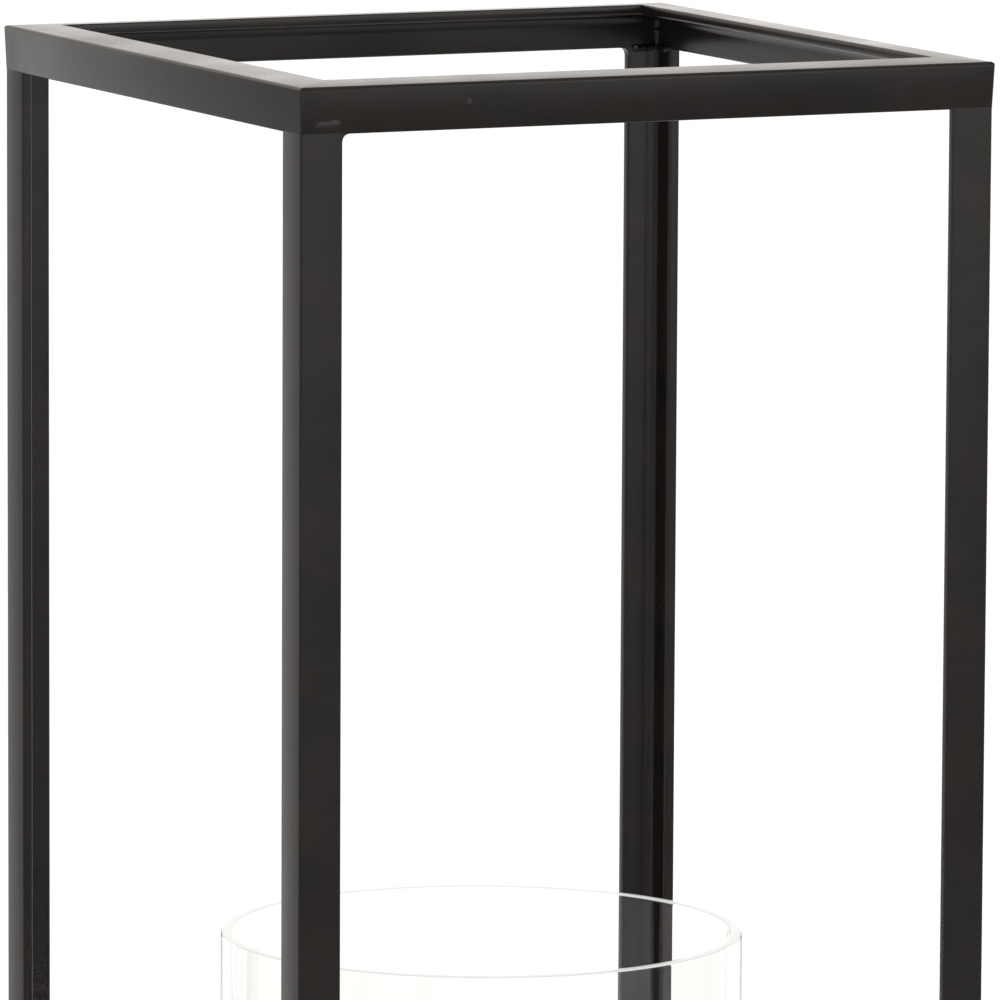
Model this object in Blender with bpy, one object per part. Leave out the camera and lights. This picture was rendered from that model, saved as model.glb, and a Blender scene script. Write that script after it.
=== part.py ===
"""Hurricane candle lantern: a welded angle-iron cage round a loose glass cylinder.

Metres, +Z up. The origin is on the floor, under the middle of the square cage.
The front is -Y, and every bar of the cage is L-shaped angle iron.
"""

import math

import bmesh
import bpy

# Cage
SIDE = 0.216  # outer side of the square cage
HEIGHT = 0.575  # floor to the top of the cage
RAIL_FLANGE = 0.0133  # flange width of the angle in both rings
POST_FLANGE = 0.0127  # flange width of the angle in the posts
IRON = 0.0032  # thickness of every flange
CORNER_RADIUS = 0.0014  # rounded outside corner of the angle
ROOT_RADIUS = 0.0030  # fillet in the angle's inside corner
TOE_RADIUS = 0.0012  # rounded inner edge at the end of each flange
GAP = 0.0003  # clearance between pieces that touch

# Feet and floor of the cage
FOOT_HEIGHT = 0.0025  # floor to the underside of the bottom ring
PAD_RADIUS = 0.0055
PAD_INSET = 0.0075  # from the cage's outer faces to the middle of a pad
PLATE_THICK = 0.0020
PLATE_CORNER = 0.0060  # rounded corners of the base plate

# Glass
GLASS_RADIUS = 0.0767
GLASS_WALL = 0.0040
GLASS_HEIGHT = 0.3050
GLASS_SHIFT = (-0.0013, 0.0006)  # the loose glass stands a little off the middle
SEAT_CLEARANCE = 0.0020  # between the glass and the band round its foot
SEAT_WALL = 0.0016
SEAT_HEIGHT = 0.0120

# Candle and the dish it stands in
DISH_RADIUS = 0.0520
DISH_FLOOR_RADIUS = 0.0480  # outside, where the flared rim starts
DISH_WELL_RADIUS = 0.0475  # inside, at the dish's floor
DISH_SHEET = 0.0012
DISH_HEIGHT = 0.0072
SPIKE_RADIUS = 0.0020
SPIKE_HEIGHT = 0.0200
SPIKE_SHOULDER = 0.0070  # where the straight shank starts to taper
CANDLE_RADIUS = 0.0375
CANDLE_HEIGHT = 0.1500
CANDLE_EDGE = 0.0020  # rounding of the candle's rims
SPIKE_BORE_RADIUS = 0.0026
SPIKE_BORE_DEPTH = 0.0215
WICK_RADIUS = 0.0010
WICK_BORE_RADIUS = 0.0014
WICK_ABOVE = 0.0100

# Levels that follow from the sizes above
HALF_SIDE = SIDE / 2
PLATE_Z = FOOT_HEIGHT + IRON + GAP
FLOOR_Z = PLATE_Z + PLATE_THICK + GAP  # what stands on the plate starts here
CANDLE_Z = FLOOR_Z + DISH_SHEET + GAP

MERGE = 0.000001  # vertices closer than this are one
ARC_STEPS = 4
PAD_SEGMENTS = 24
BAND_SEGMENTS = 96
DISH_SEGMENTS = 64
CANDLE_SEGMENTS = 64
THIN_SEGMENTS = 16

CORNER_NAMES = ("front_left", "front_right", "back_right", "back_left")
SIDE_NAMES = ("front", "right", "back", "left")


def clear_scene():
    for old in list(bpy.data.objects):
        bpy.data.objects.remove(old, do_unlink=True)


def make_material(name, colour, roughness, metallic=0.0, transmission=0.0):
    material = bpy.data.materials.new(name)
    material.use_nodes = True
    shader = material.node_tree.nodes["Principled BSDF"]
    shader.inputs["Base Color"].default_value = (*colour, 1.0)
    shader.inputs["Roughness"].default_value = roughness
    shader.inputs["Metallic"].default_value = metallic
    shader.inputs["Transmission Weight"].default_value = transmission
    material.diffuse_color = (*colour, 1.0 - 0.6 * transmission)
    return material


def add_empty(name, location, parent=None):
    empty = bpy.data.objects.new(name, None)
    empty.location = location
    empty.parent = parent
    bpy.context.scene.collection.objects.link(empty)
    return empty


def add_piece(name, mesh, parent, location=(0, 0, 0), rotation=(0, 0, 0)):
    piece = bpy.data.objects.new(name, mesh)
    piece.parent = parent
    piece.location = location
    piece.rotation_euler = rotation
    bpy.context.scene.collection.objects.link(piece)
    return piece


def finish_mesh(name, shape, material, smooth_angle=None):
    bmesh.ops.recalc_face_normals(shape, faces=shape.faces)
    mesh = bpy.data.meshes.new(name)
    shape.to_mesh(mesh)
    shape.free()
    mesh.materials.append(material)
    if smooth_angle is not None:
        mesh.shade_smooth()
        mesh.set_sharp_from_angle(angle=math.radians(smooth_angle))
    return mesh


def arc(centre, radius, start, end, steps=ARC_STEPS):
    """Points of an arc round centre, from one angle to another in degrees."""
    points = []
    for step in range(steps + 1):
        angle = math.radians(start + (end - start) * step / steps)
        across = centre[0] + radius * math.cos(angle)
        along = centre[1] + radius * math.sin(angle)
        points.append((across, along))
    return points


def angle_section(flange):
    """Outline of the angle iron, with its outside corner at (0, 0)."""
    root = IRON + ROOT_RADIUS
    toe = IRON - TOE_RADIUS
    end = flange - TOE_RADIUS
    outline = arc((CORNER_RADIUS, CORNER_RADIUS), CORNER_RADIUS, 180, 270)
    outline.append((flange, 0.0))
    outline += arc((end, toe), TOE_RADIUS, 0, 90)
    outline += arc((root, root), ROOT_RADIUS, 270, 180)
    outline += arc((toe, end), TOE_RADIUS, 0, 90)
    outline.append((0.0, flange))
    return outline


def rail_mesh(material):
    """A ring's front bar, mitred at both ends, hanging from the level z = 0."""
    shape = bmesh.new()
    outline = angle_section(RAIL_FLANGE)
    left_end = []
    for inward, down in outline:
        left_end.append(shape.verts.new((0.0, inward - HALF_SIDE, -down)))
    section = shape.faces.new(left_end)
    extruded = bmesh.ops.extrude_face_region(shape, geom=[section], use_keep_orig=True)
    right_end = [part for part in extruded["geom"] if isinstance(part, bmesh.types.BMVert)]
    mitre_gap = GAP / math.sqrt(2)
    for end, sign in ((left_end, -1), (right_end, 1)):
        for vert in end:
            # The mitre plane runs at 45 degrees, so the bar is shorter further in.
            vert.co.x = sign * (-vert.co.y - mitre_gap)
    return finish_mesh("rail", shape, material, smooth_angle=40)


def post_mesh(material):
    """The front left post, between the two rings."""
    shape = bmesh.new()
    outline = angle_section(POST_FLANGE)
    foot_z = FOOT_HEIGHT + RAIL_FLANGE + GAP
    length = HEIGHT - RAIL_FLANGE - GAP - foot_z
    foot = []
    for across, along in outline:
        foot.append(shape.verts.new((across - HALF_SIDE, along - HALF_SIDE, foot_z)))
    section = shape.faces.new(foot)
    extruded = bmesh.ops.extrude_face_region(shape, geom=[section], use_keep_orig=True)
    head = [part for part in extruded["geom"] if isinstance(part, bmesh.types.BMVert)]
    bmesh.ops.translate(shape, verts=head, vec=(0, 0, length))
    return finish_mesh("post", shape, material, smooth_angle=40)


def add_cage(iron):
    """Both rings and the four posts."""
    cage = add_empty("cage", (0, 0, 0))
    rail = rail_mesh(iron)
    post = post_mesh(iron)
    for turn, side in enumerate(SIDE_NAMES):
        heading = turn * math.pi / 2
        add_piece(f"top_rail_{side}", rail, cage, (0, 0, HEIGHT), (0, 0, heading))
        # Half a turn about Y stands the same bar on its flat flange.
        add_piece(f"bottom_rail_{side}", rail, cage, (0, 0, FOOT_HEIGHT), (0, math.pi, heading))
    for turn, corner in enumerate(CORNER_NAMES):
        add_piece(f"post_{corner}", post, cage, (0, 0, 0), (0, 0, turn * math.pi / 2))
    return cage


def turned_mesh(name, outline, segments, material, smooth_angle=40):
    """A closed outline of (radius, height) points, turned round the Z axis."""
    shape = bmesh.new()
    verts = [shape.verts.new((radius, 0.0, height)) for radius, height in outline]
    edges = [shape.edges.new((verts[i - 1], verts[i])) for i in range(1, len(verts))]
    on_axis = outline[0][0] == 0.0 and outline[-1][0] == 0.0
    if not on_axis:
        edges.append(shape.edges.new((verts[-1], verts[0])))
    bmesh.ops.spin(
        shape,
        geom=verts + edges,
        cent=(0, 0, 0),
        axis=(0, 0, 1),
        angle=2 * math.pi,
        steps=segments,
        use_merge=True,
    )
    bmesh.ops.remove_doubles(shape, verts=shape.verts, dist=MERGE)
    return finish_mesh(name, shape, material, smooth_angle)


def add_foot_pads(cage, felt):
    for corner in CORNER_NAMES:
        across = 1 if corner.endswith("right") else -1
        along = 1 if corner.startswith("back") else -1
        shape = bmesh.new()
        bmesh.ops.create_cone(
            shape,
            cap_ends=True,
            segments=PAD_SEGMENTS,
            radius1=PAD_RADIUS,
            radius2=PAD_RADIUS,
            depth=FOOT_HEIGHT - GAP,
        )
        pad = finish_mesh("foot_pad", shape, felt, smooth_angle=40)
        reach = HALF_SIDE - PAD_INSET
        place = (across * reach, along * reach, (FOOT_HEIGHT - GAP) / 2)
        add_piece(f"foot_pad_{corner}", pad, cage, place)


def add_base_plate(cage, iron):
    """The sheet on the bottom ring's flanges, clear of the fillet in the angle."""
    shape = bmesh.new()
    side = SIDE - 2 * (IRON + ROOT_RADIUS + GAP)
    bmesh.ops.create_cube(shape, size=1.0)
    bmesh.ops.scale(shape, vec=(side, side, PLATE_THICK), verts=shape.verts)
    upright = []
    for edge in shape.edges:
        rise = abs(edge.verts[0].co.z - edge.verts[1].co.z)
        if rise > PLATE_THICK / 2:
            upright.append(edge)
    bmesh.ops.bevel(
        shape,
        geom=upright,
        offset=PLATE_CORNER,
        offset_type="OFFSET",
        affect="EDGES",
        segments=ARC_STEPS,
        profile=0.5,
        material=-1,
    )
    plate = finish_mesh("base_plate", shape, iron)
    add_piece("base_plate", plate, cage, (0, 0, PLATE_Z + PLATE_THICK / 2))


def add_seat_ring(cage, iron):
    inner = GLASS_RADIUS + SEAT_CLEARANCE
    outer = inner + SEAT_WALL
    outline = [(inner, 0.0), (outer, 0.0), (outer, SEAT_HEIGHT), (inner, SEAT_HEIGHT)]
    ring = turned_mesh("glass_seat_ring", outline, BAND_SEGMENTS, iron)
    add_piece("glass_seat_ring", ring, cage, (0, 0, FLOOR_Z))


def add_glass(glass):
    """The open-ended sleeve, with a fully rounded rim at each end."""
    lift = add_empty("glass_lift", (*GLASS_SHIFT, FLOOR_Z))
    rim = GLASS_WALL / 2
    middle = GLASS_RADIUS - rim
    outline = arc((middle, rim), rim, 180, 360)
    outline += arc((middle, GLASS_HEIGHT - rim), rim, 0, 180)
    sleeve = turned_mesh("glass_cylinder", outline, BAND_SEGMENTS, glass, smooth_angle=60)
    add_piece("glass_cylinder", sleeve, lift)


def add_candle_dish(lift, iron):
    """A pan pressed from sheet: flat floor and a flared rim."""
    outline = [
        (0.0, 0.0),
        (DISH_FLOOR_RADIUS, 0.0),
        (DISH_RADIUS, DISH_HEIGHT),
        (DISH_RADIUS - DISH_SHEET, DISH_HEIGHT),
        (DISH_WELL_RADIUS, DISH_SHEET),
        (0.0, DISH_SHEET),
    ]
    dish = turned_mesh("candle_dish", outline, DISH_SEGMENTS, iron, smooth_angle=30)
    add_piece("candle_dish", dish, lift)


def add_candle_spike(lift, iron):
    outline = [
        (0.0, 0.0),
        (SPIKE_RADIUS, 0.0),
        (SPIKE_RADIUS, SPIKE_SHOULDER),
        (0.0, SPIKE_HEIGHT),
    ]
    spike = turned_mesh("candle_spike", outline, THIN_SEGMENTS, iron)
    add_piece("candle_spike", spike, lift, (0, 0, CANDLE_Z - FLOOR_Z))


def add_candle(lift, wax):
    """The pillar, bored from below for the spike and all through for the wick."""
    edge = CANDLE_EDGE
    outline = [(SPIKE_BORE_RADIUS, 0.0)]
    outline += arc((CANDLE_RADIUS - edge, edge), edge, 270, 360)
    outline += arc((CANDLE_RADIUS - edge, CANDLE_HEIGHT - edge), edge, 0, 90)
    outline.append((WICK_BORE_RADIUS, CANDLE_HEIGHT))
    outline.append((WICK_BORE_RADIUS, SPIKE_BORE_DEPTH))
    outline.append((SPIKE_BORE_RADIUS, SPIKE_BORE_DEPTH))
    pillar = turned_mesh("pillar_candle", outline, CANDLE_SEGMENTS, wax)
    add_piece("pillar_candle", pillar, lift)


def add_wick(lift, cotton):
    start = SPIKE_BORE_DEPTH + GAP
    end = CANDLE_HEIGHT + WICK_ABOVE
    outline = [(0.0, start), (WICK_RADIUS, start), (WICK_RADIUS, end), (0.0, end)]
    add_piece("wick", turned_mesh("wick", outline, THIN_SEGMENTS, cotton), lift)


def main():
    clear_scene()
    iron = make_material("black_iron", (0.016, 0.015, 0.014), 0.42)
    felt = make_material("pad_felt", (0.03, 0.03, 0.03), 0.95)
    glass = make_material("clear_glass", (1.0, 1.0, 1.0), 0.02, transmission=1.0)
    wax = make_material("candle_wax", (0.86, 0.81, 0.70), 0.55)
    cotton = make_material("wick_cotton", (0.80, 0.77, 0.70), 0.90)

    cage = add_cage(iron)
    add_foot_pads(cage, felt)
    add_base_plate(cage, iron)
    add_seat_ring(cage, iron)
    add_glass(glass)

    # The dish lifts out of the lantern, and the candle lifts off the dish.
    tray_lift = add_empty("tray_lift", (0, 0, FLOOR_Z))
    candle_lift = add_empty("candle_lift", (0, 0, CANDLE_Z - FLOOR_Z), tray_lift)
    add_candle_dish(tray_lift, iron)
    add_candle_spike(tray_lift, iron)
    add_candle(candle_lift, wax)
    add_wick(candle_lift, cotton)


main()
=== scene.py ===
# %% [markdown]
# # A hurricane candle lantern
# The real lantern is a tall cage of black painted angle iron, welded from twelve bars.
# A clear glass cylinder stands loose inside it, round a pillar candle.
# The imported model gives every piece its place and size. This lesson rebuilds each piece
# with finer edges and gives it a finish, cell by cell.

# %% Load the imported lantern
import math

import bmesh
import bpy
from mathutils import Matrix, Vector, noise


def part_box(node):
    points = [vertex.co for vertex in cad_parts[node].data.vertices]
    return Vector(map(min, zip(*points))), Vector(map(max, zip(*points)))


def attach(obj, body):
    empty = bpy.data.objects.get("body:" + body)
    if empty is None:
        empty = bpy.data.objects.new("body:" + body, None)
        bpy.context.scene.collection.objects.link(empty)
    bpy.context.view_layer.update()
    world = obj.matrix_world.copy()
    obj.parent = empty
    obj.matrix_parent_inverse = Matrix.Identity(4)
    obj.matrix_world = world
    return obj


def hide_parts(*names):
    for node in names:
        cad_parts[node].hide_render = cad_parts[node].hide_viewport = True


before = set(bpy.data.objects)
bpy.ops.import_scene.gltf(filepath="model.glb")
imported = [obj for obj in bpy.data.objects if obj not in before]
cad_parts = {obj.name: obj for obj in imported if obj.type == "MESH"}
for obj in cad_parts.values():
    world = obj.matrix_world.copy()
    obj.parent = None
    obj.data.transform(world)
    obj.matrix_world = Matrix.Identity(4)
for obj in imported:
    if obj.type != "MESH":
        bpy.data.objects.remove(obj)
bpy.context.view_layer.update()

# %% [markdown]
# ## Measure the cage
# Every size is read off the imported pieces, so a change there carries through to the looks.
# The thickness of the iron shows between the bottom ring's underside and the base plate.

# %% Sizes of the cage
GAP = 0.0003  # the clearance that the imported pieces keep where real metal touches
rail_low, rail_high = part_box("top_rail_front")
post_low, post_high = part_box("post_front_left")
plate_low, plate_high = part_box("base_plate")
top_z = rail_high.z
foot_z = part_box("bottom_rail_front")[0].z
half_side = -rail_low.y
side = 2 * half_side
rail_flange = rail_high.z - rail_low.z
post_flange = post_high.x - post_low.x
iron = plate_low.z - foot_z - GAP
SIDES = ("front", "right", "back", "left")
CORNERS = ("front_left", "front_right", "back_right", "back_left")


def round_sizes(low, high):
    """The radius, the height and the middle of the underside of a round piece's box."""
    foot = Vector(((low.x + high.x) / 2, (low.y + high.y) / 2, low.z))
    return (high.x - low.x) / 2, high.z - low.z, foot


def quarter_turn(count, size):
    """A matrix of size rows that turns by quarters about the cage's upright axis."""
    return Matrix.Rotation(count * math.pi / 2, size, "Z")


print(f"side {side:.4f}, rail {rail_flange:.4f}, post {post_flange:.4f}, iron {iron:.4f}")

# %% [markdown]
# ## The camera
# A long lens from about 2.7 m away keeps the uprights almost parallel. It looks down a
# little and meets the cage just left of its front. Distances are in sides of the cage,
# from its near top corner, so the view keeps its framing if the cage changes size.

# %% Camera
LENS = 348.4  # mm, on the usual 36 mm sensor
YAW = math.radians(25.06)
PITCH = math.radians(7.76)
ROLL = math.radians(0.29)
EYE = Vector((-4.9869, -11.2719, 1.1492))  # in sides, from the near top corner
FAR_CLIP = 100.0

camera_data = bpy.data.cameras.new("camera")
camera_data.lens = LENS
camera_data.clip_end = FAR_CLIP
camera = bpy.data.objects.new("camera", camera_data)
bpy.context.scene.collection.objects.link(camera)
near_corner = Vector((-half_side, -half_side, top_z))
aim = Matrix.Rotation(-YAW, 4, "Z") @ Matrix.Rotation(math.pi / 2 - PITCH, 4, "X")
stand_at = Matrix.Translation(near_corner + side * EYE)
camera.matrix_world = stand_at @ aim @ Matrix.Rotation(ROLL, 4, "Z")
bpy.context.scene.camera = camera
print("camera at", [round(value, 3) for value in camera.matrix_world.translation])

# %% [markdown]
# ## Node helpers
# A shader tree is built from the same few moves: a node with its values, a sum, and a smooth
# ramp from one range to another. Small functions for these keep each finish short to read.

# %% Node helpers
def add_node(tree, kind, **values):
    """A node with its plain properties and unlinked inputs set by name."""
    node = tree.nodes.new(kind)
    for name, value in values.items():
        if name in node.bl_rna.properties:
            setattr(node, name, value)
        else:
            node.inputs[name.replace("_", " ")].default_value = value
    return node


def add_math(tree, operation, first, second):
    """A maths node whose inputs are sockets or numbers."""
    node = tree.nodes.new("ShaderNodeMath")
    node.operation = operation
    for socket, value in zip(node.inputs, (first, second)):
        if isinstance(value, bpy.types.NodeSocket):
            tree.links.new(value, socket)
        else:
            socket.default_value = value
    return node.outputs[0]


def add_ramp(tree, value, low, high, to_low, to_high):
    """A smooth map of value from one range to another."""
    node = tree.nodes.new("ShaderNodeMapRange")
    node.interpolation_type = "SMOOTHSTEP"
    tree.links.new(value, node.inputs["Value"])
    node.inputs["From Min"].default_value = low
    node.inputs["From Max"].default_value = high
    node.inputs["To Min"].default_value = to_low
    node.inputs["To Max"].default_value = to_high
    return node.outputs["Result"]


# %% [markdown]
# ## A white studio
# Black paint shows what it mirrors, so the studio is modelled by its surfaces: a white floor,
# a bright horizon behind and to the right, and a darker ceiling and camera side.
# A world shader that fades with direction does this without a single hard edge.

# %% World
AMBIENT = 0.50
AIR_TONE = (1.0, 0.955, 0.91, 1.0)
# Where each ramp starts and ends, as a part of the direction, and its strength at both.
HEIGHT_RAMP = (0.16, 0.75, 1.0, 0.1)
BACK_RAMP = (0.55, 1.0, 0.25, 0.75)
RIGHT_RAMP = (-0.1, 0.5, 0.0, 0.25)

bpy.context.scene.view_settings.view_transform = "Standard"
world = bpy.data.worlds.new("studio")
bpy.context.scene.world = world
world.use_nodes = True
tree = world.node_tree
direction = add_node(tree, "ShaderNodeSeparateXYZ")
where = add_node(tree, "ShaderNodeTexCoord")
tree.links.new(where.outputs["Generated"], direction.inputs["Vector"])
# The horizon is bright, most of all behind and to the right, under a greyer ceiling.
height = add_ramp(tree, direction.outputs["Z"], *HEIGHT_RAMP)
back = add_ramp(tree, direction.outputs["Y"], *BACK_RAMP)
right = add_ramp(tree, direction.outputs["X"], *RIGHT_RAMP)
around = add_math(tree, "ADD", back, right)
glow = add_math(tree, "MULTIPLY", height, around)
glow = add_math(tree, "ADD", glow, AMBIENT)
tree.links.new(glow, tree.nodes["Background"].inputs["Strength"])
tree.nodes["Background"].inputs["Color"].default_value = AIR_TONE
print("world strength is at least", AMBIENT)

# %% [markdown]
# ## The floor
# A photographer's sweep is lit from below as well as from above: whitest behind, grey in
# front of the lantern, and pale again further out. Glossy black iron shows each of these as a
# tone of its own. One large square whose glow follows ramps on its X and Y does all three.

# %% Floor
FLOOR_SIZE = 60.0
FLOOR_TONE = (0.40, 0.40, 0.39, 1.0)
FLOOR_LIGHT = (1.0, 1.0, 0.99, 1.0)
FLOOR_ROUGHNESS = 0.9
# Where each ramp starts and ends, in metres from the lantern, and its strength at both.
NEAR_RAMP = (-1.7, 0.2, 0.0, 0.41)
BEHIND_RAMP = (0.0, 1.2, 0.0, 0.37)
RIGHTWARD_RAMP = (-1.1, 0.5, 0.0, 1.0)
FAR_RAMP = (-4.4, -2.5, 0.66, 0.0)
FURTHER_RAMP = (-8.5, -4.2, 2.4, 1.0)

floor_shape = bmesh.new()
bmesh.ops.create_grid(floor_shape, x_segments=1, y_segments=1, size=FLOOR_SIZE / 2)
floor_mesh = bpy.data.meshes.new("floor")
floor_shape.to_mesh(floor_mesh)
floor_shape.free()
floor = bpy.data.objects.new("floor", floor_mesh)
bpy.context.scene.collection.objects.link(floor)

floor_paint = bpy.data.materials.new("floor_paint")
floor_paint.use_nodes = True
tree = floor_paint.node_tree
shader = tree.nodes["Principled BSDF"]
shader.inputs["Base Color"].default_value = FLOOR_TONE
shader.inputs["Roughness"].default_value = FLOOR_ROUGHNESS
shader.inputs["Emission Color"].default_value = FLOOR_LIGHT
place = tree.nodes.new("ShaderNodeSeparateXYZ")
tree.links.new(tree.nodes.new("ShaderNodeTexCoord").outputs["Object"], place.inputs["Vector"])
near_glow = add_ramp(tree, place.outputs["Y"], *NEAR_RAMP)
behind = add_ramp(tree, place.outputs["Y"], *BEHIND_RAMP)
rightward = add_ramp(tree, place.outputs["X"], *RIGHTWARD_RAMP)
back_glow = add_math(tree, "MULTIPLY", behind, rightward)
far_glow = add_ramp(tree, place.outputs["Y"], *FAR_RAMP)
further = add_ramp(tree, place.outputs["Y"], *FURTHER_RAMP)
far_glow = add_math(tree, "MULTIPLY", far_glow, further)
glow = add_math(tree, "ADD", add_math(tree, "ADD", near_glow, back_glow), far_glow)
tree.links.new(glow, shader.inputs["Emission Strength"])
floor_mesh.materials.append(floor_paint)
print(f"floor {FLOOR_SIZE:.0f} m square")

# %% [markdown]
# ## Softboxes
# Two wide lamps finish the studio: a large one overhead for the faces that look up, and a
# weak band in front, to the right, for the faces that look that way.

# %% Softboxes
def add_softbox(name, place, target, size, power):
    light = bpy.data.lights.new(name, "AREA")
    light.shape = "RECTANGLE"
    light.size, light.size_y = size
    light.energy = power
    lamp = bpy.data.objects.new(name, light)
    lamp.location = place
    lamp.rotation_euler = (target - Vector(place)).to_track_quat("-Z", "Y").to_euler()
    bpy.context.scene.collection.objects.link(lamp)
    print(f"{name} softbox, {power} W")


middle = Vector((0, 0, top_z / 2))
add_softbox("band", (1.5, -3.2, 1.25), middle, (1.6, 1.3), 6)
add_softbox("overhead", (-1.0, -1.5, 3.2), middle, (3.0, 3.0), 40)

# %% [markdown]
# ## Shared finishes
# Sprayed paint, wax, glass and felt all vary a little from place to place. Two node groups
# carry that: one drifts a value over the surface, and one raises a fine grain.
# A group is built once and placed in each material with its own numbers.

# %% Node groups
NOISE_LOW = 0.3  # nearly all of a noise texture's values lie between these two
NOISE_HIGH = 0.7


def new_group(name, inputs, outputs):
    """An empty group with named sockets, and its two end nodes."""
    group = bpy.data.node_groups.new(name, "ShaderNodeTree")
    for socket_name, kind, value in inputs:
        socket = group.interface.new_socket(socket_name, in_out="INPUT", socket_type=kind)
        if value is not None:
            socket.default_value = value
    for socket_name, kind in outputs:
        group.interface.new_socket(socket_name, in_out="OUTPUT", socket_type=kind)
    return group, group.nodes.new("NodeGroupInput"), group.nodes.new("NodeGroupOutput")


def make_drift_group():
    """A slow drift plus a fine speckle, each with its own share, between two values."""
    number = "NodeSocketFloat"
    inputs = [
        ("Vector", "NodeSocketVector", None),
        ("Drift Scale", number, 30.0),
        ("Speck Scale", number, 900.0),
        ("Speck Share", number, 0.4),
        ("Low", number, 0.0),
        ("High", number, 1.0),
    ]
    group, entry, leave = new_group("surface_drift", inputs, [("Value", number)])
    slow = add_node(group, "ShaderNodeTexNoise", Detail=3.0, Roughness=0.55)
    fine = add_node(group, "ShaderNodeTexNoise", Detail=2.0, Roughness=0.6)
    for node, scale in ((slow, "Drift Scale"), (fine, "Speck Scale")):
        group.links.new(entry.outputs["Vector"], node.inputs["Vector"])
        group.links.new(entry.outputs[scale], node.inputs["Scale"])
    blend = group.nodes.new("ShaderNodeMix")
    group.links.new(entry.outputs["Speck Share"], blend.inputs[0])
    group.links.new(slow.outputs["Fac"], blend.inputs[2])
    group.links.new(fine.outputs["Fac"], blend.inputs[3])
    spread = group.nodes.new("ShaderNodeMapRange")
    spread.inputs["From Min"].default_value = NOISE_LOW
    spread.inputs["From Max"].default_value = NOISE_HIGH
    group.links.new(blend.outputs[0], spread.inputs["Value"])
    group.links.new(entry.outputs["Low"], spread.inputs["To Min"])
    group.links.new(entry.outputs["High"], spread.inputs["To Max"])
    group.links.new(spread.outputs["Result"], leave.inputs["Value"])
    return group


def make_grain_group():
    """A raised grain: waves of the sheet and the fine orange peel of the finish."""
    number = "NodeSocketFloat"
    inputs = [
        ("Vector", "NodeSocketVector", None),
        ("Wave Scale", number, 60.0),
        ("Wave Height", number, 0.0001),
        ("Peel Scale", number, 1500.0),
        ("Peel Height", number, 0.00001),
    ]
    group, entry, leave = new_group("raised_grain", inputs, [("Normal", "NodeSocketVector")])
    heights = []
    for scale, rise in (("Wave Scale", "Wave Height"), ("Peel Scale", "Peel Height")):
        grain = add_node(group, "ShaderNodeTexNoise", Detail=2.0, Roughness=0.5)
        group.links.new(entry.outputs["Vector"], grain.inputs["Vector"])
        group.links.new(entry.outputs[scale], grain.inputs["Scale"])
        heights.append(add_math(group, "MULTIPLY", grain.outputs["Fac"], entry.outputs[rise]))
    total = add_math(group, "ADD", *heights)
    bump = add_node(group, "ShaderNodeBump", Distance=1.0)
    group.links.new(total, bump.inputs["Height"])
    group.links.new(bump.outputs["Normal"], leave.inputs["Normal"])
    return group


drift_group = make_drift_group()
grain_group = make_grain_group()
print("groups:", drift_group.name, grain_group.name)

# %% [markdown]
# ## Placing the groups
# Every finish starts from the piece's own coordinates and hands them to a group together with
# its numbers. Three helpers do this, so a finish further on is a list of values and links.

# %% Material helpers
def new_material(name):
    """A material with its Principled shader and the piece's own coordinates."""
    material = bpy.data.materials.new(name)
    material.use_nodes = True
    tree = material.node_tree
    coordinates = tree.nodes.new("ShaderNodeTexCoord").outputs["Object"]
    return material, tree, tree.nodes["Principled BSDF"], coordinates


def place_group(tree, group, coordinates, **values):
    """A group's output, with its own numbers for this material."""
    node = tree.nodes.new("ShaderNodeGroup")
    node.node_tree = group
    tree.links.new(coordinates, node.inputs["Vector"])
    for name, value in values.items():
        node.inputs[name.replace("_", " ")].default_value = value
    return node.outputs[0]


def mix_colours(tree, factor, low, high):
    """A colour that runs from low to high with the factor."""
    node = tree.nodes.new("ShaderNodeMix")
    node.data_type = "RGBA"
    tree.links.new(factor, node.inputs["Factor"])
    node.inputs["A"].default_value = (*low, 1.0)
    node.inputs["B"].default_value = (*high, 1.0)
    return node.outputs["Result"]


def make_finish(name, colours, tone, gloss, skin):
    """A material whose colour, roughness and normal vary, each by its own numbers."""
    material, tree, shader, coordinates = new_material(name)
    shade = place_group(tree, drift_group, coordinates, **tone)
    tree.links.new(mix_colours(tree, shade, *colours), shader.inputs["Base Color"])
    shine = place_group(tree, drift_group, coordinates, **gloss)
    tree.links.new(shine, shader.inputs["Roughness"])
    grain = place_group(tree, grain_group, coordinates, **skin)
    tree.links.new(grain, shader.inputs["Normal"])
    return material, shader


# %% [markdown]
# ## Black paint on iron
# The cage is sprayed with a satin black that is a touch warm. Its gloss drifts along the
# bars, and hot-rolled iron is never quite flat, so a slow wave runs under a fine peel.

# %% Paint
PAINT_DARK = (0.0050, 0.0044, 0.0041)
PAINT_PALE = (0.0120, 0.0082, 0.0070)
PAINT_SPECULAR = 0.38


def make_paint(name, wave_height, peel_height):
    tone = {"Drift_Scale": 45.0, "Speck_Scale": 1400.0, "Speck_Share": 0.25}
    gloss = {"Drift_Scale": 25.0, "Speck_Scale": 1100.0, "Speck_Share": 0.3, "Low": 0.17, "High": 0.31}
    skin = {"Wave_Height": wave_height, "Peel_Scale": 1300.0, "Peel_Height": peel_height}
    material, shader = make_finish(name, (PAINT_DARK, PAINT_PALE), tone, gloss, skin)
    shader.inputs["Specular IOR Level"].default_value = PAINT_SPECULAR
    return material


black_paint = make_paint("black_paint", 0.00010, 0.000003)
weld_paint = make_paint("weld_paint", 0.00030, 0.000006)
print("paints:", black_paint.name, weld_paint.name)

# %% [markdown]
# ## Finishing a piece
# Each new mesh ends the same way: it becomes an object at the origin, is shaded smooth up to
# a chosen angle, takes its material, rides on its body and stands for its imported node.

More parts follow.
